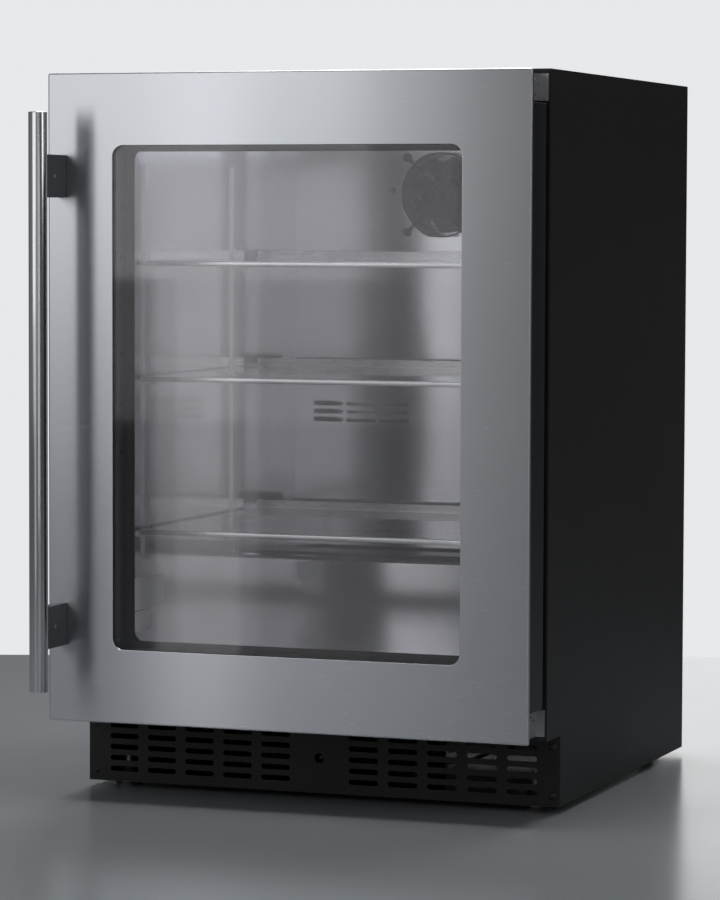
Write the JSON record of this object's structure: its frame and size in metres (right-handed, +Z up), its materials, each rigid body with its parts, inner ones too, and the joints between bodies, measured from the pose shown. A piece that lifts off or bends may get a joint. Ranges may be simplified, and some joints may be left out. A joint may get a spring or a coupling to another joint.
{
  "type": "undercounter refrigerator",
  "caption": "Undercounter refrigerator with a framed glass door on side hinges, bar handle, glass shelves, fan-cooled interior and slotted toe-kick grille on levelling feet.",
  "frame": {"origin": "middle of the footprint, on the floor under the feet", "axes": "+Z up, front and door face -Y, hinge side +X, handle side -X"},
  "size_m": [0.6, 0.734, 0.864],
  "materials": {
    "cabinet_paint": "satin",
    "galvanised_sheet": "satin",
    "grille_paint": "satin",
    "chassis_paint": "satin",
    "insulation_foam": "matte",
    "liner_steel": "satin",
    "guard_wire": "satin",
    "coil_fins": "satin",
    "motor_case": "satin",
    "fan_plastic": "matte",
    "compressor_paint": "satin",
    "mount_rubber": "matte",
    "copper_tube": "satin",
    "white_plastic": "satin",
    "light_lens": "satin",
    "black_plastic": "satin",
    "shelf_glass": "gloss",
    "shelf_trim": "satin",
    "support_steel": "satin",
    "black_screw": "satin",
    "hinge_steel": "satin",
    "pin_steel": "satin",
    "foot_steel": "satin",
    "door_steel": "satin",
    "door_body_plastic": "satin",
    "jamb_plastic": "satin",
    "door_glass": "gloss",
    "retainer_plastic": "satin",
    "gasket_rubber": "matte",
    "handle_bar_steel": "polished",
    "handle_bracket_steel": "satin",
    "set_screw": "satin"
  },
  "bodies": {
    "cabinet": {"side_panel_left": "cabinet_paint", "side_panel_right": "cabinet_paint", "top_panel": "cabinet_paint", "front_frame": "cabinet_paint", "back_panel": "galvanised_sheet", "grille_brackets": "galvanised_sheet", "base_pan": "chassis_paint", "machine_divider": "chassis_paint", "condenser_fan_shroud": "chassis_paint", "condenser_coil": "chassis_paint", "toe_kick_grille": "grille_paint", "foam_insulation": "insulation_foam", "liner_left": "liner_steel", "liner_right": "liner_steel", "liner_back": "liner_steel", "liner_ceiling": "liner_steel", "liner_floor": "liner_steel", "compressor_step": "liner_steel", "evaporator_cover": "liner_steel", "fan_guard": "guard_wire", "evaporator_coil": "coil_fins", "evaporator_fan_motor": "motor_case", "condenser_fan_motor": "motor_case", "compressor": "compressor_paint", "compressor_grommets": "mount_rubber", "refrigerant_lines": "copper_tube", "control_box": "white_plastic", "light_strip": "light_lens", "power_inlet": "black_plastic", "shelf_lower": "shelf_glass", "shelf_middle": "shelf_glass", "shelf_upper": "shelf_glass", "shelf_trims": "shelf_trim", "shelf_supports": "support_steel", "cabinet_screws": "black_screw", "hinge_bracket_top": "hinge_steel", "hinge_bracket_bottom": "hinge_steel", "hinge_pins": "pin_steel"},
    "door": {"door_skin": "door_steel", "door_frame": "door_body_plastic", "window_jamb": "jamb_plastic", "glass_bead": "black_plastic", "outer_pane": "door_glass", "inner_pane": "door_glass", "pane_retainer": "retainer_plastic", "door_liner": "black_plastic", "door_gasket": "gasket_rubber", "handle_bar": "handle_bar_steel", "handle_bracket_lower": "handle_bracket_steel", "handle_bracket_upper": "handle_bracket_steel", "handle_set_screws": "set_screw", "hinge_bushes": "black_plastic"},
    "evaporator_fan": {"evaporator_fan_rotor": "fan_plastic"},
    "condenser_fan": {"condenser_fan_rotor": "fan_plastic"},
    "foot_front_left": {"leveling_foot_front_left": "foot_steel"},
    "foot_front_right": {"leveling_foot_front_right": "foot_steel"},
    "foot_rear_left": {"leveling_foot_rear_left": "foot_steel"},
    "foot_rear_right": {"leveling_foot_rear_right": "foot_steel"},
    "thermostat": {"thermostat_knob": "white_plastic"},
    "light_rocker": {"light_switch": "white_plastic"}
  },
  "joints": [
    {"name": "door_hinge", "type": "hinge", "parent": "cabinet", "child": "door", "pos_m": [0.279, -0.27, 0.479], "axis": [0, 0, 1], "range_deg": [0, 105]},
    {"name": "evaporator_fan_spin", "type": "hinge", "parent": "cabinet", "child": "evaporator_fan", "pos_m": [0, 0.286, 0.724], "axis": [0, 1, 0], "continuous": true},
    {"name": "condenser_fan_spin", "type": "hinge", "parent": "cabinet", "child": "condenser_fan", "pos_m": [0, -0.076, 0.04775], "axis": [0, 1, 0], "continuous": true},
    {"name": "thermostat_turn", "type": "hinge", "parent": "cabinet", "child": "thermostat", "pos_m": [-0.165, -0.197, 0.804], "axis": [0, -1, 0], "range_deg": [0, 270]},
    {"name": "light_rocker_tilt", "type": "hinge", "parent": "cabinet", "child": "light_rocker", "pos_m": [-0.102, -0.188, 0.804], "axis": [1, 0, 0], "range_deg": [0, 14]},
    {"name": "foot_front_left_height", "type": "slide", "parent": "cabinet", "child": "foot_front_left", "axis": [0, 0, -1], "range_m": [0, 0.02]},
    {"name": "foot_front_right_height", "type": "slide", "parent": "cabinet", "child": "foot_front_right", "axis": [0, 0, -1], "range_m": [0, 0.02]},
    {"name": "foot_rear_left_height", "type": "slide", "parent": "cabinet", "child": "foot_rear_left", "axis": [0, 0, -1], "range_m": [0, 0.02]},
    {"name": "foot_rear_right_height", "type": "slide", "parent": "cabinet", "child": "foot_rear_right", "axis": [0, 0, -1], "range_m": [0, 0.02]}
  ]
}
